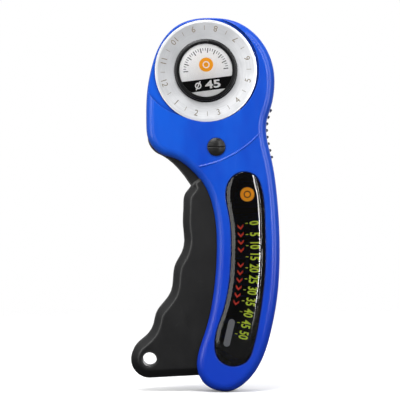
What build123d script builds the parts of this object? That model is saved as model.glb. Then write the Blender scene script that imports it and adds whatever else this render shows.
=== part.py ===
from build123d import *
import os
from math import atan2, cos, degrees, hypot, pi, radians, sin, tan

# Rotary paper trimmer with a squeeze trigger, in millimetres.
# Plan points are (x, z) pairs measured from the blade's axis, as seen from the front.
# Depth is y: the blade is on the front, towards -Y, and the shells part at y = 0.
# At the end every piece is moved so that the origin is under the middle of the foot.

# Blade and what clamps it
BLADE_D = 45.0
BLADE_T = 0.3
BLADE_BORE = 8.06
BLADE_BEVEL = 1.1
BLADE_GROUND = 0.4
BLADE_FRONT = -8.9
SHANK_D = 7.9
SHANK_FLATS = 6.4
THREAD_D = 5.9
BOLT_HEAD_D = 18.0
BOLT_HEAD_T = 1.75
CLAMP_GAP = 0.05
THREAD_START = 3.2
CAP_FLANGE_D = 28.0
CAP_D = 26.8
CAP_FRONT = -12.2
CAP_RIM_R = 0.7
CAP_STEP = 0.3
CAP_FLANGE_T = 0.9
CAP_WINDOW_D = 23.6
CAP_FLOOR = -11.3
CAP_LABEL_D = 23.3
CAP_LABEL_T = 0.2
CAP_DOME_FRONT = -12.9
CAP_DOME_RIM = -12.1
NUT_D = 22.0
NUT_FRONT = 5.1
NUT_BACK = 9.4
NUT_BEVEL = 0.8
NUT_LIP = 1.2
NUT_FLUTES = 24
NUT_FLUTE_R = 1.1
INSERT_FLATS = 10.0
INSERT_BACK = 8.9
WASHER_D = 15.0
WASHER_BORE = 6.2
WASHER_T = 0.7

# Trigger lever: it turns about the pivot and carries the blade with it
PIVOT = (-17.5, -29.0)
SQUEEZE_DEG = 11.5
PIVOT_BOSS_R = 8.3
ARM_FOOT_R = 5.5
LOBE_R = 7.2
NECK_R = 8.0
PIN_D = 4.0
PIN_FRONT = -8.0
PIN_BACK = 7.0
PIN_BEVEL = 0.3
WEB_FRONT = -4.6
WEB_BACK = 3.4
GRIP_HALF = 6.5
GRIP_TOP_R = 24.2
GRIP_BEVEL_DEPTH = 2.6
GRIP_BEVEL_WIDTH = 3.3
HUB_R = 6.5
HUB_HEAD_R = 11.0
HANG_HOLE = (-24.9, -127.6)
HANG_HOLE_D = 6.2
TAIL_R = 8.3
FOOT_RISE_DEG = 3.0

# Shells
HALF_DEPTH = 9.5
HEAD_BACK = 6.5
EDGE_R = 3.6
HEAD_EDGE_R = 2.6
STEP_FOOT = -28.5
STEP_TOP = -22.5
WALL = 2.2
LEVER_ROOM = 0.5
RECESS_R = 23.15
RECESS_SHIFT = (0.35, 0.55)
RECESS_FLOOR = -7.9
HEAD_ROOM_FRONT = -5.2
HEAD_ROOM_BACK = 4.0
GRIP_ROOM = 7.2
NUT_WINDOW_R = 12.4
LABEL_FLOOR = -8.9
LABEL_T = 0.25
LABEL_GAP = 0.35
LABEL_DOME_FRONT = -10.0
LABEL_DOME_R = 0.7
BEAD_CENTRE = (-11.4, 4.7)
BEAD_R = 47.8
BEAD_SECTION_R = 0.55
BEAD_RISE = 0.22
SEAM_DEPTH = 0.3
SEAM_HALF = 0.25

# Return spring, a coil round the pivot pin in a pocket of the lever's boss
SPRING_R = 4.4
SPRING_WIRE = 0.8
SPRING_TURNS = 3.25
SPRING_FRONT = 0.6
SPRING_BACK = 3.3
SPRING_LEG = 3.0
SPRING_SOCKET_BACK = 5.8

# Lock: a cross bolt that drops its collar into one of two seats in the lever
LOCK = (4.6, -33.6)
LOCK_D = 7.8
LOCK_BORE = 8.0
LOCK_SEAT_D = 8.1
LOCK_NECK_D = 4.6
LOCK_PEG_D = 3.0
LOCK_TRAVEL = 2.5
LOCK_FRONT = -10.9
LOCK_COLLAR_BACK = -4.75
LOCK_CAP_FRONT = 3.7
LOCK_CAP_BACK = 9.2
LOCK_CAP_BEVEL = 0.6
LOCK_PEG_BACK = 8.0
LOCK_DOME_R = 10.0
LOCK_SLIT_W = 0.55
LOCK_SLIT_DEPTH = 1.0

# Screws, from the back
SCREWS = [(16.0, 14.5), (23.6, -7.5), (25.6, -60.0), (12.0, -135.7)]
SCREW_D = 2.2
SCREW_HEAD_D = 4.4
SCREW_HEAD_T = 1.5
SCREW_SUNK = 0.2
CROSS_LONG = 2.4
CROSS_WIDE = 0.6
CROSS_DEPTH = 0.8
SCREW_BOSS_R = 2.8
SCREW_TIP = -4.6

# Index rest, a ribbed strip on the spine
REST_HALF = 5.0
REST_T = 1.5
REST_TOP = -15.6
REST_FOOT = -39.4
RIDGES = 8
RIDGE_FIRST = -17.3
RIDGE_PITCH = 2.96
RIDGE_R = 0.62
RIDGE_OUT = 0.2

# Running clearance, how far a cut runs past the face it opens, and the place of the
# blade's axis in the part's own frame
FIT = 0.05
PAST = 1.0
BLADE_AXIS = (0.184, 1.7, 141.9)


def slab(plan, front, back):
    """A plan shape given depth from y = front to y = back."""
    return extrude(Plane.XZ.offset(-back) * plan, amount=back - front)


def disc(centre, radius):
    """A plan circle."""
    return Pos(*centre) * Circle(radius)


def rod(centre, radius, front, back):
    """A round bar along Y."""
    return slab(disc(centre, radius), front, back)


def swing(point, angle):
    """A plan point turned about the pivot, anticlockwise as seen from the front."""
    x, z = point[0] - PIVOT[0], point[1] - PIVOT[1]
    c, s = cos(radians(angle)), sin(radians(angle))
    return (PIVOT[0] + c * x - s * z, PIVOT[1] + s * x + c * z)


def track(start, end, radius):
    """The plan shape swept by a circle that goes straight from start to end."""
    run = (end[0] - start[0], end[1] - start[1])
    middle = ((start[0] + end[0]) / 2, (start[1] + end[1]) / 2)
    turn = degrees(atan2(run[1], run[0]))
    return Pos(*middle) * Rot(0, 0, turn) * SlotCenterToCenter(hypot(*run), 2 * radius)


def band(left, right, foot, top):
    """An upright plan rectangle."""
    return Pos((left + right) / 2, (foot + top) / 2) * Rectangle(right - left, top - foot)


AXIS_REST = (0.0, 0.0)
AXIS_OUT = swing(AXIS_REST, SQUEEZE_DEG)
LOCK_OUT = swing(LOCK, -SQUEEZE_DEG)


def spine_curve():
    """The right-hand edge of the housing, from the head round to the foot."""
    return Spline(
        (2.0, 23.6), (12.4, 22.3), (20.4, 17.8), (26.7, 10.2), (30.1, 0.5), (30.3, -8.8),
        (28.8, -16.4), (27.1, -22.0), (26.8, -26.5), (29.1, -38.6), (31.6, -55.0),
        (32.8, -76.0), (31.9, -98.0), (28.9, -115.0), (23.6, -130.2), (17.0, -138.3),
        (8.8, -141.9),
        tangents=[(1, 0), (-1, 0)], tangent_scalars=[1, 1],
    )


def belly_curve():
    """The left-hand edge of the housing, from the foot up to the jaw and the head."""
    return Spline(
        (8.8, -141.9), (1.0, -139.6), (-3.5, -134.0), (-4.0, -127.2), (-0.6, -115.5),
        (3.2, -98.0), (4.6, -80.0), (3.4, -62.5), (-1.0, -50.3), (-7.4, -42.9), (-13.7, -38.7),
        (-19.2, -37.0), (-23.3, -33.9), (-25.7, -29.6), (-26.4, -23.0), (-26.1, -10.0),
        (-24.0, 1.8), (-19.8, 12.6), (-11.8, 20.7), (2.0, 23.6),
        tangents=[(-1, 0), (1, 0)], tangent_scalars=[1, 1],
    )


def alongside(curve, distance, samples=60):
    """The smooth curve that runs beside another, on the right of its heading."""
    points = []
    for n in range(samples + 1):
        heading = curve % (n / samples)
        points.append(curve @ (n / samples) + distance * Vector(heading.Y, -heading.X))
    return Spline(*points)


def housing_plan(inset=0.0):
    """The outline of both shells, or the same outline some way further in."""
    edges = [spine_curve(), belly_curve()]
    if inset:
        edges = [alongside(edge, inset) for edge in edges]
    return make_face(edges)


def trigger_window():
    """Where the side wall is left out, so that the lever can swing in and out."""
    side = Polyline(
        (-28.0, PIVOT[1]), (-46.0, -60.0), (-46.0, -137.2), (10.0, -137.2), (10.0, -50.0),
        (-6.0, PIVOT[1]), close=True,
    )
    return make_face(side) + disc(PIVOT, PIVOT_BOSS_R + LEVER_ROOM)


def rooms():
    """The plan of the shallow room behind the head and of the deep one in the handle."""
    inside = housing_plan(WALL) + trigger_window()
    handle = band(-60, 60, -160, -36.0) - disc(PIVOT, GRIP_TOP_R - LEVER_ROOM)
    deep = inside & handle
    return inside - handle, deep


def seam_bosses(front, back):
    """The bars around the screws."""
    return [rod(place, SCREW_BOSS_R, front, back) for place in SCREWS]


def label_plan(grow=0.0):
    """The curved capsule of the handle label, or the same capsule a little larger."""
    left = Spline(
        (17.0, -44.7), (11.8, -46.8), (9.0, -52.2), (10.3, -64.0), (11.2, -78.0), (10.6, -91.0),
        (7.6, -106.5), (3.9, -120.6), (5.9, -127.6), (12.2, -130.4),
        tangents=[(-1, 0), (1, 0)], tangent_scalars=[1, 1],
    )
    right = Spline(
        (12.2, -130.4), (18.2, -128.0), (20.9, -122.2), (24.5, -103.5), (26.3, -84.0),
        (26.1, -68.0), (24.5, -51.6), (22.1, -46.7), (17.0, -44.7),
        tangents=[(1, 0), (-1, 0)], tangent_scalars=[1, 1],
    )
    edges = [left, right]
    if grow:
        edges = [alongside(edge, grow) for edge in edges]
    return make_face(edges)


def spine_point(height):
    """The point of the spine at a given height, by halving."""
    curve = spine_curve()
    low, high = 0.25, 0.6
    for _ in range(40):
        middle = (low + high) / 2
        if (curve @ middle).Y > height:
            low = middle
        else:
            high = middle
    return ((curve @ low).X, height)


def rest_plan(grow=0.0):
    """The strip let into the spine, without its ridges."""
    skin = housing_plan() - housing_plan(REST_T + grow)
    return skin & band(15, 45, REST_FOOT - grow, REST_TOP + grow)


def rest_pad():
    """Plan of the thickening behind the index rest."""
    skin = housing_plan() - housing_plan(REST_T + WALL)
    return skin & band(15, 45, REST_FOOT - WALL, REST_TOP + WALL)


def neck_bead():
    """The fine raised line across the neck, where the head meets the handle."""
    level = BEAD_SECTION_R - HALF_DEPTH - BEAD_RISE
    bead = Pos(BEAD_CENTRE[0], level, BEAD_CENTRE[1]) * Rot(90, 0, 0) * Torus(BEAD_R, BEAD_SECTION_R)
    reach = band(-12, 40, -60, -20) & housing_plan(EDGE_R)
    return bead & slab(reach, -HALF_DEPTH - PAST, -HALF_DEPTH + 2 * FIT)


def seam_groove(front, back):
    """The shadow line round the edge where the shells meet."""
    return slab(housing_plan() - housing_plan(SEAM_DEPTH), front, back)


def screw_seat(place):
    """The level of a screw's seat, which is further forward in the thinner head."""
    back = HEAD_BACK if place[1] > STEP_TOP else HALF_DEPTH
    return back - SCREW_HEAD_T


def front_shell():
    """The blue half on the blade's side."""
    plan = housing_plan()
    shallow, deep = rooms()
    shell = slab(plan, -HALF_DEPTH, 0)
    shell = fillet(shell.faces().sort_by(Axis.Y)[0].edges(), EDGE_R)
    shell -= slab(shallow - rest_pad(), HEAD_ROOM_FRONT, 0)
    shell -= slab(deep - rest_pad(), -GRIP_ROOM, 0)
    shell += seam_bosses(-GRIP_ROOM, 0)
    shell -= slab(track(RECESS_SHIFT, AXIS_OUT, RECESS_R), -HALF_DEPTH - PAST, RECESS_FLOOR)
    shell -= slab(track(AXIS_REST, AXIS_OUT, HUB_R + LEVER_ROOM), -HALF_DEPTH, 0)
    shell -= rod(LOCK, LOCK_BORE / 2, -HALF_DEPTH - PAST, 0)
    shell -= rod(PIVOT, PIN_D / 2 + FIT, PIN_FRONT - FIT, 0)
    shell -= slab(label_plan(LABEL_GAP), -HALF_DEPTH - PAST, LABEL_FLOOR)
    shell -= slab(rest_plan(FIT), -REST_HALF - FIT, 0)
    shell -= seam_groove(-SEAM_HALF, 0)
    shell += neck_bead()
    for place in SCREWS:
        shell -= rod(place, SCREW_D / 2 + FIT, SCREW_TIP - FIT, 0)
    return shell


def head_step():
    """What is taken off the back, so that the head is thinner than the handle."""
    fall = (HALF_DEPTH - HEAD_BACK) / (STEP_TOP - STEP_FOOT)
    side = Polyline(
        (HALF_DEPTH + fall, STEP_FOOT - 1), (0, STEP_FOOT + HALF_DEPTH / fall), (0, 40),
        (20, 40), (20, STEP_FOOT - 1), close=True,
    )
    return extrude(Plane.YZ.offset(-50) * make_face(side), amount=100)


def back_shell():
    """The blue half on the nut's side."""
    plan = housing_plan()
    shallow, deep = rooms()
    handle = slab(plan, 0, HALF_DEPTH)
    handle = fillet(handle.faces().sort_by(Axis.Y)[-1].edges(), EDGE_R)
    head = slab(plan, 0, HEAD_BACK)
    head = fillet(head.faces().sort_by(Axis.Y)[-1].edges(), HEAD_EDGE_R)
    shell = (handle - head_step()) + head
    shell -= slab(shallow - rest_pad(), 0, HEAD_ROOM_BACK)
    shell -= slab(deep - rest_pad(), 0, GRIP_ROOM)
    for place in SCREWS:
        seat = screw_seat(place)
        shell += rod(place, SCREW_BOSS_R, 0, seat)
        shell -= rod(place, SCREW_D / 2 + 3 * FIT, 0, HALF_DEPTH)
        shell -= rod(place, SCREW_HEAD_D / 2 + 4 * FIT, seat, HALF_DEPTH + PAST)
    shell -= slab(track(AXIS_REST, AXIS_OUT, NUT_WINDOW_R), 0, HALF_DEPTH)
    shell -= rod(LOCK, LOCK_BORE / 2, 0, HALF_DEPTH + PAST)
    shell -= rod(PIVOT, PIN_D / 2 + FIT, 0, PIN_BACK + FIT)
    shell -= slab(rest_plan(FIT), 0, REST_HALF + FIT)
    shell -= rod(spring_foot(), SPRING_WIRE / 2 + 2 * FIT, 0, SPRING_SOCKET_BACK)
    shell -= seam_groove(0, SEAM_HALF)
    return shell


def index_rest():
    """The ribbed rubber strip under the index finger."""
    plan = rest_plan(-FIT)
    for n in range(RIDGES):
        root = spine_point(RIDGE_FIRST - n * RIDGE_PITCH)
        plan += disc((root[0] + RIDGE_OUT, root[1]), RIDGE_R)
    return slab(plan, -REST_HALF, REST_HALF)


def grip_plan():
    """The thick part of the lever, with its finger grooves."""
    start = swing((PIVOT[0] + GRIP_TOP_R, PIVOT[1]), -63.4)
    hidden = swing((PIVOT[0] + GRIP_TOP_R, PIVOT[1]), -42.0)
    crown = swing((PIVOT[0] + GRIP_TOP_R, PIVOT[1]), -52.0)
    rise = radians(FOOT_RISE_DEG)
    tail_left = (HANG_HOLE[0] - TAIL_R, HANG_HOLE[1])
    tail_corner = (HANG_HOLE[0] - TAIL_R * cos(pi / 4), HANG_HOLE[1] - TAIL_R * sin(pi / 4))
    tail_foot = (HANG_HOLE[0] + TAIL_R * sin(rise), HANG_HOLE[1] - TAIL_R * cos(rise))
    heel_x = -1.2
    heel = (heel_x, tail_foot[1] + (heel_x - tail_foot[0]) * tan(rise))
    fingers = Spline(
        start, (-9.2, -54.2), (-10.0, -60.0), (-10.2, -67.8), (-9.6, -75.0), (-10.9, -80.6),
        (-13.6, -85.6), (-14.6, -92.0), (-15.6, -97.8), (-19.0, -102.8), (-22.1, -107.2),
        (-23.3, -112.0), (-26.0, -116.8), (-30.6, -120.9), tail_left,
        tangents=[(-0.5, -1), (0, -1)], tangent_scalars=[1, 1],
    )
    tail = ThreePointArc(tail_left, tail_corner, tail_foot)
    foot = Line(tail_foot, heel)
    inside = Spline(
        heel, (1.6, -124.0), (7.0, -106.0), (10.4, -90.0), (11.0, -74.0),
        (8.0, -57.0), hidden,
    )
    top = ThreePointArc(hidden, crown, start)
    return make_face([fingers, tail, foot, inside, top])


def web_plan():
    """The thin part of the lever: head, pivot boss, lock lobe and the web to the grip."""
    arm = make_hull((disc(AXIS_REST, HUB_HEAD_R) + disc(PIVOT, ARM_FOOT_R)).edges())
    lobes = disc(LOCK, LOBE_R) + disc(LOCK_OUT, LOBE_R)
    lobe = make_hull((lobes + disc(PIVOT, ARM_FOOT_R)).edges())
    neck = make_hull((disc(LOCK, LOBE_R) + disc(AXIS_REST, NECK_R)).edges())
    left = Spline(
        (-20.6, -36.7), (-17.0, -38.8), (-12.4, -43.0), (-9.5, -46.5), (-6.7, -50.6),
    )
    rim = Polyline(
        (-6.7, -50.6), (2.0, -56.0), (9.0, -56.0), (9.0, -40.0), (-8.0, -28.0), (-20.6, -36.7),
    )
    return arm + lobe + neck + disc(PIVOT, PIVOT_BOSS_R) + make_face([left, rim])


def lock_slot():
    """The narrow slot that the lock's neck runs in as the lever swings."""
    steps = 8
    slot = Sketch()
    for n in range(steps):
        start = swing(LOCK, -SQUEEZE_DEG * n / steps)
        end = swing(LOCK, -SQUEEZE_DEG * (n + 1) / steps)
        slot += track(start, end, LOCK_NECK_D / 2 + 4 * FIT)
    return slot


def flatted(width, radius):
    """A circle with two flats, the section of the bolt's shank."""
    return Circle(radius) & Rectangle(width, 4 * radius)


def trigger_lever():
    """The black squeeze lever."""
    grip = slab(grip_plan(), -GRIP_HALF, GRIP_HALF)
    for side in (-1, 1):
        face = grip.faces().sort_by(Axis.Y)[0 if side < 0 else -1]
        edges = [e for e in face.edges() if (e @ 0.5).X < -5 and (e @ 0.5).Z < -55]
        grip = chamfer(edges, length=GRIP_BEVEL_WIDTH, length2=GRIP_BEVEL_DEPTH, reference=face)
    lever = slab(web_plan(), WEB_FRONT, WEB_BACK) + grip
    lever += rod(AXIS_REST, HUB_R, BLADE_FRONT + BLADE_T + CLAMP_GAP, WEB_FRONT)
    lever -= slab(flatted(SHANK_FLATS + 2 * FIT, SHANK_D / 2 + FIT), -HALF_DEPTH, HALF_DEPTH)
    lever -= rod(PIVOT, PIN_D / 2 + 1.6 * FIT, -HALF_DEPTH, HALF_DEPTH)
    lever -= rod(HANG_HOLE, HANG_HOLE_D / 2, -HALF_DEPTH, HALF_DEPTH)
    lever -= slab(lock_slot(), WEB_FRONT, WEB_BACK)
    for seat in (LOCK, LOCK_OUT):
        lever -= rod(seat, LOCK_SEAT_D / 2, WEB_FRONT, WEB_FRONT + LOCK_TRAVEL + 2 * FIT)
    lever -= spring_room()
    return lever


def spring_room():
    """The pocket in the lever's pivot boss that holds the spring."""
    room = 1.5 * SPRING_WIRE
    ring = disc(PIVOT, SPRING_R + room) - disc(PIVOT, SPRING_R - room)
    leg_middle = (PIVOT[0] + SPRING_R + SPRING_LEG / 2, PIVOT[1])
    notch = Pos(*leg_middle) * Rectangle(SPRING_LEG + SPRING_WIRE, room)
    return slab(ring + notch, SPRING_FRONT - SPRING_WIRE / 2 - 2 * FIT, WEB_BACK)


def spring_foot():
    """Where the spring's fixed end goes into the back shell."""
    end = radians(360 * SPRING_TURNS)
    return (PIVOT[0] + SPRING_R * cos(end), PIVOT[1] - SPRING_R * sin(end))


def return_spring():
    """A torsion spring round the pivot pin that swings the lever back out."""
    rise = SPRING_BACK - SPRING_FRONT
    coil = Helix(pitch=rise / SPRING_TURNS, height=rise, radius=SPRING_R)
    section = Plane(origin=coil @ 0, z_dir=coil % 0) * Circle(SPRING_WIRE / 2)
    coiled = sweep(section, path=coil, is_frenet=True)
    leg = Pos(SPRING_R - SPRING_WIRE / 4, 0, 0) * Rot(0, 90, 0) * Cylinder(
        SPRING_WIRE / 2, SPRING_LEG, align=(Align.CENTER, Align.CENTER, Align.MIN))
    on_pivot = Plane(origin=(PIVOT[0], SPRING_FRONT, PIVOT[1]), x_dir=(1, 0, 0), z_dir=(0, 1, 0))
    tang = rod(spring_foot(), SPRING_WIRE / 2, SPRING_BACK, SPRING_SOCKET_BACK - 4 * FIT)
    return on_pivot * (coiled + leg) + tang


def pivot_pin():
    """The steel pin that the lever turns on, held in blind holes in both shells."""
    pin = rod(PIVOT, PIN_D / 2, PIN_FRONT, PIN_BACK)
    return chamfer(pin.edges().filter_by(GeomType.CIRCLE), PIN_BEVEL)


def blade():
    """The round blade, ground on both sides."""
    disc_blank = rod(AXIS_REST, BLADE_D / 2, BLADE_FRONT, BLADE_FRONT + BLADE_T)
    rims = disc_blank.edges().filter_by(GeomType.CIRCLE)
    edge = chamfer(rims, length=BLADE_T * BLADE_GROUND, length2=BLADE_BEVEL)
    return edge - rod(AXIS_REST, BLADE_BORE / 2, -HALF_DEPTH, 0)


def blade_bolt():
    """The steel bolt that the blade turns on: head, round seat, flats and thread."""
    seat_end = BLADE_FRONT + BLADE_T + CLAMP_GAP / 2
    front = BLADE_FRONT - CLAMP_GAP
    bolt = rod(AXIS_REST, BOLT_HEAD_D / 2, front - BOLT_HEAD_T, front)
    bolt += rod(AXIS_REST, SHANK_D / 2, front, seat_end)
    bolt += slab(flatted(SHANK_FLATS, SHANK_D / 2), seat_end, THREAD_START)
    return bolt + rod(AXIS_REST, THREAD_D / 2, THREAD_START, INSERT_BACK + 2 * FIT)


def lathe(profile):
    """A solid turned about the blade's axis from (radius, y) points."""
    face = make_face(Polyline(*profile, close=True))
    return revolve(face, Axis.Y)


def bolt_cap():
    """The black moulded cap over the bolt's head, with a window for its label."""
    back = BLADE_FRONT - CLAMP_GAP
    flange = back - CAP_FLANGE_T
    cap = lathe([
        (0, back), (CAP_FLANGE_D / 2, back), (CAP_FLANGE_D / 2, flange),
        (CAP_D / 2, flange - CAP_STEP), (CAP_D / 2, CAP_FRONT), (0, CAP_FRONT),
    ])
    rim = cap.edges().filter_by(GeomType.CIRCLE).group_by(Axis.Y)[0]
    cap = fillet(rim, CAP_RIM_R)
    cap -= rod(AXIS_REST, CAP_WINDOW_D / 2, CAP_FRONT - PAST, CAP_FLOOR)
    return cap - rod(AXIS_REST, BOLT_HEAD_D / 2 + FIT, back - BOLT_HEAD_T - FIT, back)


def cap_label():
    """The printed disc in the cap's window."""
    return rod(AXIS_REST, CAP_LABEL_D / 2, CAP_FLOOR - CAP_LABEL_T, CAP_FLOOR)


def cap_dome():
    """The clear resin lens over the cap's label."""
    back = CAP_FLOOR - CAP_LABEL_T
    rise = CAP_DOME_RIM - CAP_DOME_FRONT
    radius = ((CAP_LABEL_D / 2) ** 2 + rise ** 2) / (2 * rise)
    ball = Pos(0, CAP_DOME_FRONT + radius, 0) * Sphere(radius)
    return rod(AXIS_REST, CAP_LABEL_D / 2, CAP_DOME_FRONT - PAST, back) & ball


def flat_washer():
    """The steel washer against the back of the lever."""
    ring = disc(AXIS_REST, WASHER_D / 2) - disc(AXIS_REST, WASHER_BORE / 2)
    return slab(ring, WEB_BACK, WEB_BACK + WASHER_T)


def wave_washer():
    """The sprung washer that keeps the nut from working loose, bent to a shallow saddle."""
    bend, thick, outer, bore = 34.0, 0.35, 6.4, 3.2
    front = WEB_BACK + WASHER_T
    tube = Cylinder(bend, 4 * outer) - Cylinder(bend - thick, 4 * outer)
    ring = disc(AXIS_REST, outer) - disc(AXIS_REST, bore)
    return slab(ring, front, NUT_FRONT + PAST) & Pos(0, front + bend, 0) * tube


def nut_insert():
    """The threaded brass hexagon moulded into the nut knob."""
    hexagon = RegularPolygon(INSERT_FLATS / 2, 6, major_radius=False)
    return slab(hexagon - Circle(THREAD_D / 2 + FIT), NUT_FRONT, INSERT_BACK)


def nut_knob():
    """The fluted black nut that clamps the blade from behind."""
    knob = lathe([
        (0, NUT_FRONT), (NUT_D / 2 - NUT_LIP, NUT_FRONT), (NUT_D / 2, NUT_FRONT + NUT_BEVEL),
        (NUT_D / 2, NUT_BACK - NUT_BEVEL), (NUT_D / 2 - NUT_BEVEL, NUT_BACK), (0, NUT_BACK),
    ])
    for n in range(NUT_FLUTES):
        turn = 2 * pi * n / NUT_FLUTES
        reach = (NUT_D + NUT_FLUTE_R) / 2
        knob -= rod((reach * cos(turn), reach * sin(turn)), NUT_FLUTE_R, 0, NUT_BACK + PAST)
    hexagon = RegularPolygon(INSERT_FLATS / 2 + FIT, 6, major_radius=False)
    knob -= slab(hexagon, 0, INSERT_BACK + FIT)
    return knob - rod(AXIS_REST, THREAD_D / 2 + 6 * FIT, 0, NUT_BACK + PAST)


def lock_button():
    """The front half of the lock: domed and slit button, collar, neck and peg."""
    button = rod(LOCK, LOCK_D / 2, LOCK_FRONT - PAST, LOCK_COLLAR_BACK)
    button &= Pos(LOCK[0], LOCK_FRONT + LOCK_DOME_R, LOCK[1]) * Sphere(LOCK_DOME_R)
    slit = Box(2 * LOCK_D, 2 * LOCK_SLIT_DEPTH, LOCK_SLIT_W)
    button -= Pos(LOCK[0], LOCK_FRONT, LOCK[1]) * slit
    button += rod(LOCK, LOCK_NECK_D / 2, LOCK_COLLAR_BACK, LOCK_CAP_FRONT)
    return button + rod(LOCK, LOCK_PEG_D / 2, LOCK_CAP_FRONT, LOCK_PEG_BACK)


def lock_button_rear():
    """The back half of the lock, pushed on to the peg."""
    cap = rod(LOCK, LOCK_D / 2, LOCK_CAP_FRONT, LOCK_CAP_BACK)
    cap = chamfer(cap.faces().sort_by(Axis.Y)[-1].edges(), LOCK_CAP_BEVEL)
    return cap - rod(LOCK, LOCK_PEG_D / 2 + FIT, 0, LOCK_PEG_BACK + 2 * FIT)


def handle_label():
    """The printed film let into the handle."""
    return slab(label_plan(), LABEL_FLOOR - LABEL_T, LABEL_FLOOR)


def label_dome():
    """The clear resin over the handle label, with rounded edges."""
    resin = slab(label_plan(), LABEL_DOME_FRONT, LABEL_FLOOR - LABEL_T)
    return fillet(resin.faces().sort_by(Axis.Y)[0].edges(), LABEL_DOME_R)


def shell_screws():
    """The cross-head screws that hold the shells together."""
    screws = []
    for place in SCREWS:
        seat = screw_seat(place)
        head = seat + SCREW_HEAD_T - SCREW_SUNK
        screw = rod(place, SCREW_HEAD_D / 2, seat, head) + rod(place, SCREW_D / 2, SCREW_TIP, seat)
        cross = Box(CROSS_LONG, 2 * CROSS_DEPTH, CROSS_WIDE)
        cross += Box(CROSS_WIDE, 2 * CROSS_DEPTH, CROSS_LONG)
        screws.append(screw - Pos(place[0], head, place[1]) * cross)
    return screws


PIECES = [
    front_shell, back_shell, index_rest, shell_screws, handle_label, label_dome,
    trigger_lever, pivot_pin, return_spring, blade, blade_bolt, bolt_cap, cap_label,
    cap_dome, flat_washer, wave_washer, nut_insert, nut_knob, lock_button, lock_button_rear,
]

os.makedirs("parts", exist_ok=True)
for piece in PIECES:
    made = piece()
    solids = made if isinstance(made, list) else made.solids()
    placed = [Pos(*BLADE_AXIS) * solid for solid in solids]
    shape = placed[0] if len(placed) == 1 else Compound(children=placed)
    export_step(shape, f"parts/{piece.__name__}.step")
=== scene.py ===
from math import atan2, cos, hypot, pi, radians, sin

import bmesh
import bpy
from mathutils import Matrix, Vector


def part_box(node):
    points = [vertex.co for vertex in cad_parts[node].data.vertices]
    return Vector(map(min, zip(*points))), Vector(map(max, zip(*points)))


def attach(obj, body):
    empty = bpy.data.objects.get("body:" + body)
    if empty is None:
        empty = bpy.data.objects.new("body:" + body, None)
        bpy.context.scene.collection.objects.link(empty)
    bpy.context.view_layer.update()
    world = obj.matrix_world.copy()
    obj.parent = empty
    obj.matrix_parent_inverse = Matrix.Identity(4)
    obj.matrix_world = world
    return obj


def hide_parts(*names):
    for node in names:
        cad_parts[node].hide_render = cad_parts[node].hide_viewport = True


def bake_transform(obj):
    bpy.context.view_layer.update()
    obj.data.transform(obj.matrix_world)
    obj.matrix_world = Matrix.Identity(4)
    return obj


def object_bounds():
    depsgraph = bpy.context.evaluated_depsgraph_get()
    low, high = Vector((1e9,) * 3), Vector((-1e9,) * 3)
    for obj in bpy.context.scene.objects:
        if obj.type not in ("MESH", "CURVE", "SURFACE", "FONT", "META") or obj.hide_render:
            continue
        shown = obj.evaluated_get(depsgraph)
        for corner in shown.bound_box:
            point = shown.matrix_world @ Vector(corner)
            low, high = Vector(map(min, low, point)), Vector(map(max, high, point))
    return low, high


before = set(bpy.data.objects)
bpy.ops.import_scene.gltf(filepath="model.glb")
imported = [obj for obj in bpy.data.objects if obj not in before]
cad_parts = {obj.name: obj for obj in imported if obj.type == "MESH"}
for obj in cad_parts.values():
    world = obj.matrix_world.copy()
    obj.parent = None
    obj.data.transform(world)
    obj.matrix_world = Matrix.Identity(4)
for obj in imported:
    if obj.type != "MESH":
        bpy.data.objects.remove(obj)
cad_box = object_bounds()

# Rotary paper trimmer: finishes, printed marks, light and camera around the CAD frame.
# Lengths are metres. Plan points are (x, z) as seen from the front, and the front is -Y.
MM = 0.001
PRINT_T = 0.012 * MM        # how thick a printed mark is
SKIN = 0.004 * MM           # the gap that keeps one mark clear of another
WELD = 0.0005 * MM          # points closer than this become one
ROUND_STEPS = 72            # sides of a printed circle


def srgb(red, green, blue):
    """A colour given as 0 to 255 screen values, as linear light."""
    def linear(value):
        value /= 255
        return value / 12.92 if value <= 0.04045 else ((value + 0.055) / 1.055) ** 2.4
    return (linear(red), linear(green), linear(blue), 1.0)


WHITE = srgb(255, 255, 255)


# ---------------------------------------------------------------- node shorthand

class Nodes:
    """A node tree that starts empty, with a short call that adds a node."""

    def __init__(self, tree):
        self.tree = tree
        self.tree.nodes.clear()

    def node(self, kind, inputs=(), **settings):
        """Adds a node. Inputs are {socket name or number: value or another socket}."""
        made = self.tree.nodes.new("ShaderNode" + kind)
        for key, value in settings.items():
            setattr(made, key, value)
        for key, value in dict(inputs).items():
            if isinstance(value, bpy.types.NodeSocket):
                self.tree.links.new(value, made.inputs[key])
            else:
                made.inputs[key].default_value = value
        return made


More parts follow.
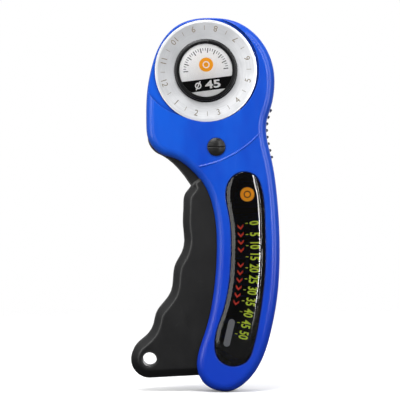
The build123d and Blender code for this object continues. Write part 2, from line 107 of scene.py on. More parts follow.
class Finish(Nodes):
    """A procedural material. Sizes and depths are in millimetres."""

    def __init__(self, name):
        self.material = bpy.data.materials.new(name)
        self.material.use_nodes = True
        super().__init__(self.material.node_tree)

    def math(self, operation, first, second=0.0):
        return self.node("Math", {0: first, 1: second}, operation=operation).outputs[0]

    def join(self, x, y, z):
        return self.node("CombineXYZ", {0: x, 1: y, 2: z}).outputs[0]

    def split(self, vector):
        return self.node("SeparateXYZ", {0: vector}).outputs

    def dot(self, first, second):
        made = self.node("VectorMath", {0: first, 1: second}, operation="DOT_PRODUCT")
        return made.outputs["Value"]

    def length(self, vector):
        return self.node("VectorMath", {0: vector}, operation="LENGTH").outputs["Value"]

    def span(self, value, low, high, to_low=0.0, to_high=1.0):
        """A value carried smoothly from low...high to another range, and held there."""
        inputs = {0: value, 1: low, 2: high, 3: to_low, 4: to_high}
        return self.node("MapRange", inputs, interpolation_type="SMOOTHSTEP").outputs[0]

    def mix(self, share, first, second):
        """One colour turned into another by a share."""
        return self.node("Mix", {0: share, 6: first, 7: second}, data_type="RGBA").outputs[2]

    def place(self, stretch=(1, 1, 1), centre=(0, 0, 0)):
        """The point on the piece, in millimetres from a centre, stretched by axis."""
        point = self.node("TexCoord").outputs["Object"]
        shifted = self.node("VectorMath", {0: point, 1: centre}, operation="SUBTRACT").outputs[0]
        scale = [s / MM for s in stretch]
        return self.node("VectorMath", {0: shifted, 1: scale}, operation="MULTIPLY").outputs[0]

    def height(self):
        return self.split(self.place())[2]

    def polar(self, centre, along=1.0, across=1.0):
        """(radius, angle, depth) about an axis along Y, for marks that run round a disc. Radius
        is stretched by across, and angle by along."""
        spot = self.split(self.place(centre=centre))
        radius = self.length(self.join(spot[0], 0.0, spot[2]))
        angle = self.math("ARCTAN2", spot[2], spot[0])
        return self.join(self.math("MULTIPLY", radius, across),
                         self.math("MULTIPLY", angle, along), spot[1])

    def noise(self, where, size, detail=3.0, distortion=0.0):
        """Noise from 0 to 1 with features about size across."""
        inputs = {"Vector": where, "Scale": 1 / size, "Detail": detail, "Distortion": distortion}
        return self.node("TexNoise", inputs).outputs["Fac"]

    def round_edges(self, radius):
        """A normal that runs smoothly over the sharp edges."""
        return self.node("Bevel", {"Radius": radius * MM}, samples=6).outputs[0]

    def edges(self, radius, low=0.02, high=0.25):
        """1 on the sharp edges and 0 on the flats, from how far a bevel turns the normal."""
        true = self.node("NewGeometry").outputs["True Normal"]
        turned = self.math("SUBTRACT", 1.0, self.dot(self.round_edges(radius), true))
        return self.span(turned, low, high)

    def crevices(self, reach):
        """1 where the surface is closed in within a reach, and 0 in the open."""
        inputs = {"Distance": reach * MM}
        open_sky = self.node("AmbientOcclusion", inputs, samples=6).outputs["AO"]
        return self.span(open_sky, 0.25, 0.95, 1.0, 0.0)

    def scratches(self, size):
        """Thin lines, in patches, where a noise drawn out in two directions crosses its middle."""
        turn, thin, patch = 0.4, 0.006, 9.0
        lines = 0.0
        for n, stretch in enumerate([(1, 1, 0.12), (0.15, 1, 1)], start=1):
            turned = {"Vector": self.place(stretch), "Angle": turn * n}
            where = self.node("VectorRotate", turned, rotation_type="Y_AXIS").outputs[0]
            value = self.noise(where, size, detail=1.0, distortion=0.6)
            off = self.math("ABSOLUTE", self.math("SUBTRACT", value, 0.5))
            lines = self.math("MAXIMUM", lines, self.span(off, 0.0, thin, 1.0, 0.0))
        patches = self.noise(self.place(), patch)
        return self.math("MULTIPLY", lines, self.span(patches, 0.5, 0.7))

    def bump(self, height, depth, normal=None):
        """A normal lifted by a height of 0 to 1 that stands for a depth."""
        inputs = {"Height": height, "Distance": depth * MM, "Strength": 1.0}
        if normal is not None:
            inputs["Normal"] = normal
        return self.node("Bump", inputs).outputs[0]

    def surface(self, **inputs):
        """Ends the material in a Principled surface, with input names written with _."""
        named = {key.replace("_", " "): value for key, value in inputs.items()}
        return self.end_in(self.node("BsdfPrincipled", named))

    def end_in(self, shader):
        self.node("OutputMaterial", {0: shader.outputs[0]})
        return self.material


# ---------------------------------------------------------------- materials

def moulded_blue():
    """Glossy blue ABS with faint flow marks, orange peel and fine scratches. Painted shade darkens
    it towards the foot and in crevices, and its sharp edges are lighter: partly wear, partly a
    painted highlight."""
    f = Finish("shell_blue")
    flow = f.noise(f.place((1, 1, 0.35)), 14.0, detail=4.0)
    colour = f.mix(f.span(flow, 0.3, 0.7), srgb(9, 61, 168), srgb(14, 77, 184))
    # Painted shade: the blue grows darker towards the foot, as if lit from above.
    foot, top = (corner.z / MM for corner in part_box("front_shell"))
    painted_foot_shade = f.span(f.height(), foot, 0.8 * top, 0.65, 0.0)
    colour = f.mix(painted_foot_shade, colour, srgb(4, 34, 166))
    # Sharp edges painted lighter: partly wear, partly a painted highlight along the edges.
    lighter_edges = f.math("MULTIPLY", f.edges(0.4), 0.15)
    colour = f.mix(lighter_edges, colour, srgb(86, 136, 236))
    marks = f.scratches(6.0)
    colour = f.mix(f.math("MULTIPLY", marks, 0.015), colour, srgb(150, 180, 245))
    # Painted shade: the blue turns dark navy in crevices, recesses and gaps, where shade falls.
    painted_crevice_shade = f.math("MULTIPLY", f.crevices(2.0), 0.75)
    colour = f.mix(painted_crevice_shade, colour, srgb(6, 26, 96))
    smears = f.noise(f.place((1, 1, 0.6)), 5.0, detail=5.0, distortion=0.8)
    rough = f.math("ADD", f.span(smears, 0.35, 0.7, 0.21, 0.25), f.math("MULTIPLY", marks, 0.02))
    peel = f.noise(f.place(), 0.9, detail=2.0)
    normal = f.bump(peel, 0.0015, f.round_edges(0.3))
    return f.surface(Base_Color=colour, Roughness=rough, Normal=normal, Specular_IOR_Level=0.36)


def moulded_black(name, low, high, rough, grain, depth, edge_light, edge_radius, sheen=0.5,
                  edge_span=(0.02, 0.25), edge_foot=None):
    """Black moulded plastic with a spark-eroded grain and lighter edges, partly rubbing and partly
    a painted highlight. Given an edge_foot, the lighter edges fade out down to that height."""
    f = Finish(name)
    cloud = f.noise(f.place(), 11.0, detail=4.0)
    colour = f.mix(f.span(cloud, 0.3, 0.7), low, high)
    # Lighter edges: partly rubbing, partly a painted highlight along the creases.
    lighter_edges = f.span(f.noise(f.place(), 3.0), 0.2, 0.7, 0.6, 1.0)
    lighter_edges = f.math("MULTIPLY", f.edges(edge_radius, *edge_span), lighter_edges)
    # The painted edge highlight fades out towards the foot.
    if edge_foot is not None:
        fade = 9.0
        above_edge_foot = f.span(f.height(), edge_foot / MM, edge_foot / MM + fade)
        lighter_edges = f.math("MULTIPLY", lighter_edges, above_edge_foot)
    colour = f.mix(f.math("MULTIPLY", lighter_edges, edge_light), colour, srgb(150, 150, 148))
    colour = f.mix(f.math("MULTIPLY", f.scratches(5.0), 0.03), colour, srgb(120, 120, 120))
    handled = f.noise(f.place((1, 1, 0.5)), 7.0, detail=4.0)
    roughness = f.span(handled, 0.3, 0.7, rough - 0.06, rough + 0.06)
    normal = f.bump(f.noise(f.place(), grain, detail=4.0), depth, f.round_edges(edge_radius))
    return f.surface(Base_Color=colour, Roughness=roughness, Normal=normal,
                     Specular_IOR_Level=sheen)


def ground_blade(centre, radius):
    """Ground steel: fine rings from the wheel, a satin cloud, a broad painted reflection that is
    darker to the upper left, and a brighter bevel and hone-finished rim, partly their finish and
    partly a painted highlight."""
    f = Finish("blade_steel")
    rings = f.noise(f.polar(centre, along=2.0, across=7.0), 1.0, detail=4.0)
    cloud = f.noise(f.place(), 6.0, detail=4.0)
    tone = f.math("ADD", f.math("MULTIPLY", rings, 0.6), f.math("MULTIPLY", cloud, 0.4))
    colour = f.mix(f.span(tone, 0.35, 0.65), srgb(204, 205, 207), srgb(228, 229, 231))
    # Painted reflection: the steel is darker to the upper left and lighter to the lower right.
    spot = f.node("NewGeometry").outputs["Position"]
    from_axis = f.node("VectorMath", {0: spot, 1: centre}, operation="SUBTRACT").outputs[0]
    lower_right = (0.5, 0.0, -0.87)
    sheen = f.span(f.dot(from_axis, lower_right), -radius, radius, 0.66, 0.0)
    colour = f.mix(sheen, colour, srgb(120, 121, 124))
    # The bevel and rim are painted brighter: partly their ground finish, partly a painted
    # highlight.
    edge = radius / MM
    out = f.split(f.polar(centre))[0]
    bevel = f.math("MULTIPLY", f.span(out, edge - 1.25, edge - 1.0), 0.6)
    colour = f.mix(bevel, colour, srgb(214, 215, 217))
    honed_rim_highlight = f.span(out, edge - 0.45, edge - 0.25)
    colour = f.mix(honed_rim_highlight, colour, srgb(236, 237, 239))
    ground = f.span(tone, 0.35, 0.65, 0.40, 0.46)
    rough = f.math("SUBTRACT", ground, f.math("MULTIPLY", honed_rim_highlight, 0.14))
    return f.surface(Base_Color=colour, Metallic=0.62, Roughness=rough,
                     Normal=f.bump(rings, 0.0005))


def satin_metal(name, low, high, rough, size, stretch=(1, 1, 1)):
    """Plated, drawn or turned metal with fine marks, light stains and brighter edges."""
    f = Finish(name)
    marks = f.noise(f.place(stretch), size, detail=4.0)
    stain = f.noise(f.place(), 3.0, detail=3.0)
    colour = f.mix(f.span(marks, 0.3, 0.7), low, high)
    colour = f.mix(f.span(stain, 0.55, 0.8, 0.0, 0.3), colour, low)
    colour = f.mix(f.math("MULTIPLY", f.edges(0.12), 0.5), colour, srgb(245, 245, 245))
    roughness = f.span(marks, 0.3, 0.7, rough - 0.06, rough + 0.08)
    normal = f.bump(marks, 0.002, f.round_edges(0.08))
    return f.surface(Base_Color=colour, Metallic=1.0, Roughness=roughness, Normal=normal)


def soft_rubber():
    """Dark slate rubber, matt, with paler and shinier ridges where the finger rubs it."""
    f = Finish("rest_rubber")
    cloud = f.noise(f.place(), 2.0, detail=4.0)
    colour = f.mix(f.span(cloud, 0.3, 0.7), srgb(30, 33, 42), srgb(42, 46, 57))
    lighter_edges = f.edges(0.5, 0.0, 0.3)
    colour = f.mix(f.math("MULTIPLY", lighter_edges, 0.3), colour, srgb(84, 90, 106))
    rough = f.math("SUBTRACT", 0.72, f.math("MULTIPLY", lighter_edges, 0.2))
    normal = f.bump(f.noise(f.place(), 0.25, detail=3.0), 0.015, f.round_edges(0.2))
    return f.surface(Base_Color=colour, Roughness=rough, Normal=normal)


def silver_film(centre):
    """The cap's printed film: silvery white, finely brushed, a little darker to its edge."""
    f = Finish("cap_print")
    brushed = f.noise(f.place((6, 1, 0.3)), 0.8, detail=3.0)
    colour = f.mix(f.span(brushed, 0.3, 0.7), srgb(247, 247, 248), srgb(254, 254, 254))
    out = f.split(f.polar(centre))[0]
    colour = f.mix(f.span(out, 10.4, 11.8, 0.0, 0.15), colour, srgb(170, 172, 176))
    return f.surface(Base_Color=colour, Roughness=f.span(brushed, 0.3, 0.7, 0.34, 0.42))


def black_film():
    """The handle's printed film: deep black, with a faint cloudy density of ink."""
    f = Finish("handle_print")
    cloud = f.noise(f.place((1, 1, 0.4)), 6.0, detail=4.0)
    colour = f.mix(f.span(cloud, 0.3, 0.7), srgb(3, 3, 4), srgb(9, 9, 10))
    return f.surface(Base_Color=colour, Roughness=f.span(cloud, 0.3, 0.7, 0.35, 0.5),
                     Specular_IOR_Level=0.0)


def ink(name, colour, paler, shine=0.2):
    """Screen-printed ink with a slightly uneven cover."""
    f = Finish(name)
    cover = f.noise(f.place(), 0.5, detail=4.0)
    mixed = f.mix(f.span(cover, 0.35, 0.75, 0.0, 0.5), colour, paler)
    return f.surface(Base_Color=mixed, Roughness=f.span(cover, 0.3, 0.7, 0.4, 0.55),
                     Specular_IOR_Level=shine, Normal=f.bump(cover, 0.002))


def clear_resin(name):
    """Poured clear resin: it lets light straight through, shines like glass and is a little
    wavy and dusty."""
    f = Finish(name)
    wave = f.noise(f.place(), 7.0, detail=1.0)
    dust = f.noise(f.place(), 0.7, detail=3.0)
    normal = f.bump(wave, 0.002)
    tint = f.mix(f.span(dust, 0.6, 0.8, 0.0, 0.3), WHITE, srgb(244, 245, 247))
    through = f.node("BsdfTransparent", {"Color": tint}).outputs[0]
    gloss = {"Color": WHITE, "Roughness": 0.04, "Normal": normal}
    shine = f.node("BsdfGlossy", gloss).outputs[0]
    share = f.node("Fresnel", {"IOR": 1.5, "Normal": normal}).outputs[0]
    return f.end_in(f.node("MixShader", {0: share, 1: through, 2: shine}))


def pale_floor(reach):
    """A pale matt sweep that fades into the white surround and throws little light back up."""
    f = Finish("studio_floor")
    grain = f.noise(f.place(), 40.0, detail=3.0)
    pale = f.mix(f.span(grain, 0.3, 0.7), srgb(240, 240, 241), srgb(244, 244, 244))
    seen = f.node("LightPath").outputs["Is Camera Ray"]
    matt = {"Base Color": f.mix(seen, srgb(84, 84, 85), pale), "Roughness": 0.9,
            "Emission Color": WHITE, "Emission Strength": f.math("MULTIPLY", seen, 0.16)}
    solid = f.node("BsdfPrincipled", matt).outputs[0]
    out = f.length(f.node("TexCoord").outputs["Object"])
    fade = f.span(out, 0.25 * reach, reach)
    clear = f.node("BsdfTransparent").outputs[0]
    return f.end_in(f.node("MixShader", {0: fade, 1: solid, 2: clear}))


# ---------------------------------------------------------------- plan shapes

def around(centre, radius, turn):
    """The plan point at a radius and an angle from a plan centre."""
    return (centre[0] + radius * cos(turn), centre[1] + radius * sin(turn))


def circle(centre, radius, steps=ROUND_STEPS):
    return [around(centre, radius, 2 * pi * n / steps) for n in range(steps)]


def bar(centre, angle, length, width):
    """A plan rectangle whose length points along an angle."""
    run = (cos(angle) * length / 2, sin(angle) * length / 2)
    side = (-sin(angle) * width / 2, cos(angle) * width / 2)
    signs = ((-1, -1), (1, -1), (1, 1), (-1, 1))
    return [(centre[0] + a * run[0] + b * side[0], centre[1] + a * run[1] + b * side[1])
            for a, b in signs]


def chevron(centre, angle, size):
    """A plan arrowhead that points along an angle."""
    shape = [(0.5, 0.0), (-0.05, 0.5), (-0.45, 0.5), (0.1, 0.0), (-0.45, -0.5), (-0.05, -0.5)]
    c, s = cos(angle) * size, sin(angle) * size
    return [(centre[0] + c * x - s * y, centre[1] + s * x + c * y) for x, y in shape]


def capsule(centre, angle, length, width, steps=16):
    """A plan bar with round ends."""
    outline = []
    for way in (angle, angle + pi):
        hub = around(centre, (length - width) / 2, way)
        outline += [around(hub, width / 2, way - pi / 2 + pi * n / steps)
                    for n in range(steps + 1)]
    return outline


# ---------------------------------------------------------------- mesh helpers

def centre_of(node):
    low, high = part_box(node)
    return (low + high) / 2


def finish_piece(bm, name, body, material, smooth=False):
    """Turns a bmesh into a piece that rides on a body."""
    bmesh.ops.remove_doubles(bm, verts=bm.verts, dist=WELD)
    bmesh.ops.recalc_face_normals(bm, faces=bm.faces)
    mesh = bpy.data.meshes.new(name)
    bm.to_mesh(mesh)
    bm.free()
    for face in mesh.polygons:
        face.use_smooth = smooth
    mesh.materials.append(material)
    piece = bpy.data.objects.new(name, mesh)
    bpy.context.scene.collection.objects.link(piece)
    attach(piece, body)
    return piece


def add_loops(bm, rows):
    """Faces between closed rows of points, each row joined to the one after it."""
    for row, following in zip(rows, rows[1:]):
        for n in range(len(row)):
            after = (n + 1) % len(row)
            bm.faces.new((row[n], row[after], following[after], following[n]))


def add_row(bm, outline, y):
    return [bm.verts.new((x, y, z)) for x, z in outline]


def add_plate(bm, outline, front):
    """A thin flat shape with a plan outline, its front face at y = front."""
    fore, back = add_row(bm, outline, front), add_row(bm, outline, front + PRINT_T)
    bm.faces.new(fore)
    bm.faces.new(back[::-1])
    add_loops(bm, [fore, back])


def add_ring(bm, centre, inner, outer, front, steps=ROUND_STEPS):
    """A thin flat ring about a plan centre."""
    back = front + PRINT_T
    corners = ((inner, front), (outer, front), (outer, back), (inner, back))
    rows = [add_row(bm, circle(centre, radius, steps), y) for radius, y in corners]
    add_loops(bm, rows + rows[:1])


def add_figures(bm, text, height, centre, angle, front, weight=0.0, wide=1.0):
    """Numerals as a thin closed shape, turned by an angle about their middle. Weight makes them
    bolder by a share of the font's size, and wide stretches them."""
    font_weld = 0.0001          # of the font's size
    curve = bpy.data.curves.new("figures", "FONT")
    curve.body = text
    curve.size = 1.0
    curve.offset = weight
    curve.resolution_u = 6
    curve.fill_mode = "BOTH"
    holder = bpy.data.objects.new("figures", curve)
    bpy.context.scene.collection.objects.link(holder)
    bpy.context.view_layer.update()
    seen = holder.evaluated_get(bpy.context.evaluated_depsgraph_get())
    flat = bpy.data.meshes.new_from_object(seen)
    bpy.data.objects.remove(holder)
    low = [min(v.co[i] for v in flat.vertices) for i in (0, 1)]
    high = [max(v.co[i] for v in flat.vertices) for i in (0, 1)]
    middle = Vector(((low[0] + high[0]) / 2, (low[1] + high[1]) / 2, 0))
    scale = height / (high[1] - low[1])
    shape = bmesh.new()
    shape.from_mesh(flat)
    bpy.data.meshes.remove(flat)
    bmesh.ops.remove_doubles(shape, verts=shape.verts, dist=font_weld)
    place = (Matrix.Translation((centre[0], front, centre[1])) @ Matrix.Rotation(pi / 2, 4, "X")
             @ Matrix.Rotation(angle, 4, "Z") @ Matrix.Diagonal((scale * wide, scale, scale, 1))
             @ Matrix.Translation(-middle))
    bmesh.ops.transform(shape, matrix=place, verts=shape.verts)
    grown = bmesh.ops.extrude_face_region(shape, geom=shape.faces[:])
    moved = [v for v in grown["geom"] if isinstance(v, bmesh.types.BMVert)]
    bmesh.ops.translate(shape, vec=(0, PRINT_T, 0), verts=moved)
    solid = bpy.data.meshes.new("figures")
    shape.to_mesh(solid)
    shape.free()
    bm.from_mesh(solid)
    bpy.data.meshes.remove(solid)


# ---------------------------------------------------------------- blade marks

def blade_marks():
    """Numbers 1 to 12 round the blade, tops to the centre, with a tick between each two."""
    centre = centre_of("blade")
    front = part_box("blade")[0].y - PRINT_T
    axis = (centre.x, centre.z)
    ring, figure, tick, tick_wide = 19.0 * MM, 2.6 * MM, 2.0 * MM, 0.2 * MM
    angle_before_one, step_angle = radians(197), radians(30)
    bm = bmesh.new()
    for n in range(1, 13):
        turn = angle_before_one + step_angle * n
        add_figures(bm, str(n), figure, around(axis, ring, turn), turn + pi / 2, front)
        turn += step_angle / 2
        add_plate(bm, bar(around(axis, ring, turn), turn, tick, tick_wide), front)
    etched = ink("blade_etch", srgb(108, 98, 82), srgb(136, 127, 110))
    finish_piece(bm, "blade_numbers", "blade_disc", etched)


# ---------------------------------------------------------------- cap print

BAND_TILT = radians(7.2)
BAND_TOP = -3.8 * MM        # the band's edges, along Z from the cap's centre
BAND_FOOT = -9.0 * MM


def chord_ends(level, radius):
    """The left and right angles at which a tilted line meets a circle. Level is the line's
    height where it passes the circle's centre."""
    lift = level * cos(BAND_TILT)
    half = (radius ** 2 - lift ** 2) ** 0.5
    return atan2(lift, -half) + BAND_TILT, atan2(lift, half) + BAND_TILT


def cap_band(axis, radius, front):
    """A black band across the lower half of the film, with the film's own round ends."""
    top_left, top_right = chord_ends(BAND_TOP, radius)
    foot_left, foot_right = chord_ends(BAND_FOOT, radius)
    steps = 16
    outline = []
    for start, end in ((top_left, foot_left), (foot_right, top_right)):
        start, end = start % (2 * pi), end % (2 * pi)
        if abs(end - start) > pi:
            end += 2 * pi if end < start else -2 * pi
        outline += [around(axis, radius, start + (end - start) * n / steps)
                    for n in range(steps + 1)]
    bm = bmesh.new()
    add_plate(bm, outline, front)
    black = ink("band_ink", srgb(5, 5, 6), srgb(14, 14, 15), shine=0.0)
    finish_piece(bm, "cap_band", "trigger", black)


def cap_size(axis, front):
    """The blade's size in white on the band: a diameter sign and the figures 45."""
    middle = (axis[0], axis[1] + (BAND_TOP + BAND_FOOT) / 2)
    figures_at, sign_at = 3.0 * MM, -3.4 * MM
    inner, outer, stroke, tail = 0.9 * MM, 1.45 * MM, 0.5 * MM, 0.7 * MM
    slant = BAND_TILT + radians(58)
    bm = bmesh.new()
    place = around(middle, figures_at, BAND_TILT)
    add_figures(bm, "45", 3.6 * MM, place, BAND_TILT, front, weight=0.03, wide=1.45)
    sign = around(middle, sign_at, BAND_TILT)
    add_ring(bm, sign, inner, outer, front, steps=36)
    add_plate(bm, bar(sign, slant, 2 * inner - SKIN, stroke), front)
    for side in (-1, 1):
        end = around(sign, side * (outer + tail / 2), slant)
        add_plate(bm, bar(end, slant, tail - SKIN, stroke), front)
    white = ink("size_ink", srgb(250, 250, 250), srgb(235, 235, 235))
    finish_piece(bm, "cap_size", "trigger", white)


def cap_ticks(axis, front):
    """Dial ticks along the film's upper edge, every third one long and bold."""
    tips, first_angle, step_angle = 9.9 * MM, radians(184), radians(6.6)
    bm = bmesh.new()
    for n in range(28):
        turn = first_angle - step_angle * n
        length, width = (2.1 * MM, 0.42 * MM) if n % 3 == 0 else (1.2 * MM, 0.28 * MM)
        place = around(axis, tips - length / 2, turn)
        add_plate(bm, bar(place, turn, length, width), front)
    grey = ink("tick_ink", srgb(66, 66, 69), srgb(96, 96, 98))
    finish_piece(bm, "cap_ticks", "trigger", grey)


def roundel(name, body, hub, radii, front, material):
    """A dot in a ring. The radii are the dot's, the ring's inner and the ring's outer one."""
    dot, inner, outer = radii
    bm = bmesh.new()
    add_plate(bm, circle(hub, dot), front)
    add_ring(bm, hub, inner, outer, front)
    finish_piece(bm, name, body, material)


def cap_print(orange):
    """A size band, dial ticks and an orange roundel on the cap's film."""
    centre = centre_of("cap_label")
    low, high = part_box("cap_label")
    axis = (centre.x, centre.z)
    front = low.y - PRINT_T
    cap_band(axis, (high.x - low.x) / 2, front)
    cap_size(axis, front - PRINT_T - SKIN)
    cap_ticks(axis, front)
    hub = (axis[0] + 0.1 * MM, axis[1] + 2.5 * MM)
    radii = (1.1 * MM, 1.55 * MM, 3.1 * MM)
    roundel("cap_roundel", "trigger", hub, radii, front, orange)


# ---------------------------------------------------------------- handle label

def rim_of(node, side):
    """The ordered plan outline of a node's flat face on one side of y, -1 front or 1 back."""
    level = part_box(node)[0 if side < 0 else 1].y
    weld, off_level = 0.001 * MM, 0.01 * MM
    bm = bmesh.new()
    bm.from_mesh(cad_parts[node].data)
    bmesh.ops.remove_doubles(bm, verts=bm.verts, dist=weld)
    flat = {f for f in bm.faces if all(abs(v.co.y - level) < off_level for v in f.verts)}
    border = [e for e in bm.edges if sum(f in flat for f in e.link_faces) == 1]
    beside = {}
    for edge in border:
        for vert in edge.verts:
            beside.setdefault(vert, []).append(edge.other_vert(vert))
    start = border[0].verts[0]
    loop, before, here = [start], None, start
    while True:
        step = beside[here][0] if beside[here][0] is not before else beside[here][1]
        if step is start:
            break
        loop.append(step)
        before, here = here, step
    points = [(v.co.x, v.co.z) for v in loop]
    bm.free()
    area = sum(a[0] * b[1] - b[0] * a[1] for a, b in zip(points, points[1:] + points[:1]))
    return points if area > 0 else points[::-1]


def even(points, count):
    """A closed outline walked again in equal steps."""
    closed = points + points[:1]
    steps = [hypot(b[0] - a[0], b[1] - a[1]) for a, b in zip(closed, closed[1:])]
    total, walked, n, made = sum(steps), 0.0, 0, []
    for k in range(count):
        goal = total * k / count
        while walked + steps[n] < goal:
            walked += steps[n]
            n += 1
        share = (goal - walked) / steps[n]
        a, b = closed[n], closed[n + 1]
        made.append((a[0] + share * (b[0] - a[0]), a[1] + share * (b[1] - a[1])))
    return made


def smoothed(points, rounds=14):
    """A closed outline with its small facets averaged away."""
    for _ in range(rounds):
        points = [((a[0] + 2 * b[0] + c[0]) / 4, (a[1] + 2 * b[1] + c[1]) / 4)
                  for a, b, c in zip(points[-1:] + points[:-1], points, points[1:] + points[:1])]
    return points


def inset(points, distance, reach=5):
    """An anticlockwise closed outline moved inwards, square to the run of reach points each way."""
    moved = []
    for n, here in enumerate(points):
        before, after = points[n - reach], points[(n + reach) % len(points)]
        run = (after[0] - before[0], after[1] - before[1])
        size = hypot(*run)
        moved.append((here[0] - distance * run[1] / size, here[1] + distance * run[0] / size))
    return moved


def handle_resin():
    """The poured dome over the handle's film: steep at its rim, crowned, flat in the middle."""
    low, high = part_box("label_dome")
    rise = high.y - low.y
    rim = smoothed(even(rim_of("label_dome", 1), 320))
    crown, lip, rings = 6.3 * MM, 0.02 * MM, 18
    upright = 0.12              # the share of the rise that the rim's side wall takes
    bm = bmesh.new()
    rows = [add_row(bm, rim, high.y)]
    for n in range(rings + 1):
        share = (n / rings) ** 1.4
        lift = upright + (1 - upright) * (1 - (1 - share) ** 2.2)
        rows.append(add_row(bm, inset(rim, lip + crown * share), high.y - rise * lift))
    add_loops(bm, rows)
    bm.faces.new(rows[-1])
    bm.faces.new(rows[0][::-1])
    resin = clear_resin("resin_long")
    piece = finish_piece(bm, "handle_resin", "housing", resin, smooth=True)
    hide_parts("label_dome")


class LabelPlan:
    """Finds places on the curved handle label by height and by share of its width."""

    def __init__(self):
        self.rim = even(rim_of("handle_label", -1), 700)
        self.low, self.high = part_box("handle_label")
        self.length = self.high.z - self.low.z
        self.front = self.low.y - PRINT_T

    def point(self, down, across):
        """The point at a share down the label's length and a share across its width."""
        z = self.high.z - down * self.length
        crossings = []
        for a, b in zip(self.rim, self.rim[1:] + self.rim[:1]):
            if (a[1] - z) * (b[1] - z) < 0:
                crossings.append(a[0] + (b[0] - a[0]) * (z - a[1]) / (b[1] - a[1]))
        left, right = min(crossings), max(crossings)
        return (left + across * (right - left), z)

    def heading(self, down, across):
        """The angle of the line of equal share down the label, at that place."""
        reach = 0.03
        a, b = self.point(down - reach, across), self.point(down + reach, across)
        return atan2(b[1] - a[1], b[0] - a[0])

    def walk(self, start, across, distance):
        """The share down the label that lies a distance further along a line of equal share."""
        step = 0.25 * MM
        here, walked = start, 0.0
        while walked < distance:
            move = min(step, distance - walked)
            here += move * abs(sin(self.heading(here, across))) / self.length
            walked += move
        return here


def handle_ruler(plan):
    """Numbers in millimetres at their true places, every 5 mm, each with a tick."""
    zero, across, height = 0.262, 0.69, 4.2 * MM
    tick, tick_wide, gap = 1.1 * MM, 0.3 * MM, 2.85 * MM
    bm = bmesh.new()
    for n in range(0, 55, 5):
        down = plan.walk(zero, across, n * MM)
        angle = plan.heading(down, across)
        place = plan.point(down, across)
        add_figures(bm, str(n), height, place, angle, plan.front, weight=0.02, wide=0.66)
        beside = around(place, gap + tick / 2, angle - pi / 2)
        add_plate(bm, bar(beside, angle + pi / 2, tick, tick_wide), plan.front)
    lime = ink("lime_ink", srgb(212, 236, 56), srgb(226, 245, 92))
    finish_piece(bm, "handle_ruler", "housing", lime)


def handle_arrows(plan):
    """Red arrowheads that point down the handle, in a group of four and a group of six."""
    first, across, pitch, size = 0.283, 0.285, 3.35 * MM, 2.5 * MM
    left_out = 4
    bm = bmesh.new()
    for n in range(11):
        if n != left_out:
            down = plan.walk(first, across, pitch * n)
            arrow = chevron(plan.point(down, across), plan.heading(down, across), size)
            add_plate(bm, arrow, plan.front)
    red = ink("red_ink", srgb(220, 52, 38), srgb(234, 78, 58))
    finish_piece(bm, "handle_arrows", "housing", red)


def handle_capsule(plan):
    """A plain grey bar with round ends."""
    down, across, length, width = 0.828, 0.32, 12.4 * MM, 2.9 * MM
    bm = bmesh.new()
    outline = capsule(plan.point(down, across), plan.heading(down, across), length, width)
    add_plate(bm, outline, plan.front)
    grey = ink("grey_ink", srgb(140, 142, 148), srgb(158, 160, 166))
    finish_piece(bm, "handle_capsule", "housing", grey)


def handle_print(orange):
    """A ruler, arrowheads, a roundel and a plain capsule on the handle's film."""
    plan = LabelPlan()
    handle_ruler(plan)
    handle_arrows(plan)
    hub = plan.point(0.115, 0.58)
    radii = (1.15 * MM, 1.6 * MM, 3.15 * MM)
    roundel("handle_roundel", "housing", hub, radii, plan.front, orange)
    handle_capsule(plan)


# ---------------------------------------------------------------- finishes on the CAD nodes

def black_finishes():
    """The black mouldings: the lock, the lever, the nut and the bolt's cap."""
    lever_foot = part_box("trigger_lever")[0].z
    lock = moulded_black("lock_black", srgb(11, 11, 11), srgb(19, 19, 18), rough=0.30, grain=0.6,
                         depth=0.004, edge_light=0.3, edge_radius=0.2, sheen=0.35)
    return {
        "lock_button": lock,
        "lock_button_rear": lock,
        # The lever's crease edges are painted lighter, partly as a painted highlight, fading out
        # just above its foot.
        "trigger_lever": moulded_black(
            "lever_black", srgb(9, 9, 10), srgb(14, 14, 15), rough=0.42, grain=0.35,
            depth=0.008, edge_light=0.27, edge_radius=1.5, sheen=0.3,
            edge_span=(0.006, 0.06), edge_foot=lever_foot + 4 * MM),
        "nut_knob": moulded_black(
            "knob_black", srgb(20, 20, 21), srgb(30, 30, 31), rough=0.42, grain=0.4,
            depth=0.01, edge_light=0.35, edge_radius=0.25),
        "bolt_cap": moulded_black(
            "cap_black", srgb(6, 6, 7), srgb(12, 12, 13), rough=0.26, grain=0.8,
            depth=0.003, edge_light=0.15, edge_radius=0.2, sheen=0.26),
    }


def paint_all():
    """Gives every CAD node its finish."""
    low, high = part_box("blade")
    blue = moulded_blue()
    steel = satin_metal("fastener_steel", srgb(170, 172, 176), srgb(205, 206, 208), 0.34, 0.3)
    spring = satin_metal("spring_steel", srgb(150, 152, 156), srgb(190, 192, 196), 0.3, 0.2,
                         stretch=(1, 0.2, 1))
    brass = satin_metal("insert_brass", srgb(196, 150, 74), srgb(226, 184, 106), 0.28, 0.25)
    resin = clear_resin("resin_round")
    finishes = {
        "front_shell": blue,
        "back_shell": blue,
        "index_rest": soft_rubber(),
        "shell_screws": steel,
        "pivot_pin": steel,
        "blade_bolt": steel,
        "flat_washer": steel,
        "wave_washer": spring,
        "return_spring": spring,
        "nut_insert": brass,
        "blade": ground_blade(centre_of("blade"), (high.x - low.x) / 2),
        "cap_label": silver_film(centre_of("cap_label")),
        "cap_dome": resin,
        "handle_label": black_film(),
        "label_dome": resin,
    }
    finishes.update(black_finishes())
    for node, material in finishes.items():
        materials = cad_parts[node].data.materials
        materials.clear()
        materials.append(material)


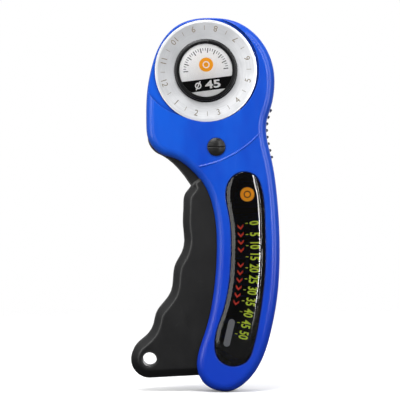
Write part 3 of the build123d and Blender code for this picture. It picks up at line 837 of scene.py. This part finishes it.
def twisting_spring():
    """The return spring as one loose piece copied from its CAD mesh, with the CAD piece hidden. On
    the real spring the tang at its back stays in the shell, and the leg at its front turns with the
    lever."""
    spring = bpy.data.objects.new("spring_coil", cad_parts["return_spring"].data.copy())
    bpy.context.scene.collection.objects.link(spring)
    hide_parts("return_spring")
    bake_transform(spring)


# ---------------------------------------------------------------- studio

def softbox(name, target, turn, rise, away, wide, tall, glow):
    """A rectangular soft light that faces a target. Turn is from the camera's side to the right,
    rise is above the level, both in degrees, and glow is how bright its face looks."""
    lamp = bpy.data.lights.new(name, "AREA")
    lamp.shape = "RECTANGLE"
    lamp.size = wide
    lamp.size_y = tall
    lamp.energy = glow * pi * wide * tall
    turn, rise = radians(turn), radians(rise)
    way = Vector((sin(turn) * cos(rise), -cos(turn) * cos(rise), sin(rise)))
    holder = bpy.data.objects.new(name, lamp)
    bpy.context.scene.collection.objects.link(holder)
    holder.location = target + away * way
    holder.rotation_euler = (-way).to_track_quat("-Z", "Y").to_euler()
    holder.visible_camera = False


def lights(middle, head):
    """A panel, two walls and three strips whose reflections shape the gloss, a lamp for the
    head, and broad lights above and behind."""
    for light in (
            # name, target, turn, rise, away, wide, tall, glow
            ("panel_left", middle, -22, 8, 0.9, 0.13, 0.9, 2.6),
            ("strip_left", middle, -44, 8, 0.9, 0.04, 1.1, 12.0),
            ("wall_left", middle, -58, 16, 0.9, 0.40, 1.1, 2.1),
            ("strip_right", middle, 19, 8, 0.9, 0.036, 0.9, 21.0),
            ("strip_far_right", middle, 24, 8, 0.9, 0.02, 0.9, 8.0),
            ("wall_right", middle, 50, 16, 0.9, 0.36, 1.1, 3.5),
            ("head_key", head, -22, 46, 0.42, 0.22, 0.22, 10.0),
            ("top", middle, 0, 80, 0.9, 0.7, 0.7, 2.6),
            ("back", middle, 160, 20, 0.9, 0.6, 0.9, 2.0)):
        softbox(*light)


def surround():
    """White to the camera, and to everything else a soft room, darker where the camera stands."""
    world = bpy.data.worlds.new("studio")
    bpy.context.scene.world = world
    world.use_nodes = True
    w = Nodes(world.node_tree)
    way = w.node("SeparateXYZ", {0: w.node("TexCoord").outputs["Generated"]}).outputs
    from_front = w.node("MapRange", {0: way[1], 1: -1.0, 2: 1.0}).outputs[0]
    ramp = w.node("ValToRGB", {0: from_front})
    stops = [(0.0, 0.16), (0.04, 0.20), (0.2, 0.55), (0.5, 0.85), (0.8, 0.75), (1.0, 0.55)]
    ramp.color_ramp.interpolation = "EASE"
    while len(ramp.color_ramp.elements) < len(stops):
        ramp.color_ramp.elements.new(0.5)
    for element, (position, level) in zip(ramp.color_ramp.elements, stops):
        element.position = position
        element.color = (level, level, level * 1.01, 1)
    room = w.node("Background", {0: ramp.outputs[0], 1: 0.5}).outputs[0]
    white = w.node("Background", {0: WHITE, 1: 1.0}).outputs[0]
    seen = w.node("LightPath").outputs["Is Camera Ray"]
    mixed = w.node("MixShader", {0: seen, 1: room, 2: white}).outputs[0]
    w.node("OutputWorld", {0: mixed})


def floor(low):
    """A round floor just below the object."""
    reach = 0.7
    bm = bmesh.new()
    bmesh.ops.create_circle(bm, cap_ends=True, radius=reach, segments=96)
    mesh = bpy.data.meshes.new("floor")
    bm.to_mesh(mesh)
    bm.free()
    mesh.materials.append(pale_floor(reach))
    ground = bpy.data.objects.new("floor", mesh)
    ground.location = (0, 0, low.z - 0.2 * MM)
    bpy.context.scene.collection.objects.link(ground)


def camera(middle):
    """A long lens square to the front, aimed a little to the left of and above the middle."""
    eye = bpy.data.objects.new("camera", bpy.data.cameras.new("camera"))
    eye.data.lens = 183.6
    eye.data.sensor_width = 36.0
    eye.data.clip_start = 0.05
    view_width, left, up = 176.5 * MM, 2.4 * MM, 2.1 * MM
    away = view_width * eye.data.lens / eye.data.sensor_width
    eye.location = (middle.x - left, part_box("blade")[0].y - away, middle.z + up)
    eye.rotation_euler = (pi / 2, 0, 0)
    bpy.context.scene.collection.objects.link(eye)
    bpy.context.scene.camera = eye
    bpy.context.scene.view_settings.view_transform = "Standard"


# ---------------------------------------------------------------- the whole

low_corner, high_corner = cad_box
object_middle = (low_corner + high_corner) / 2

paint_all()
twisting_spring()
blade_marks()
orange_ink = ink("orange_ink", srgb(255, 166, 4), srgb(255, 182, 26))
cap_print(orange_ink)
handle_resin()
handle_print(orange_ink)
surround()
floor(low_corner)
lights(object_middle, centre_of("blade"))
camera(object_middle)
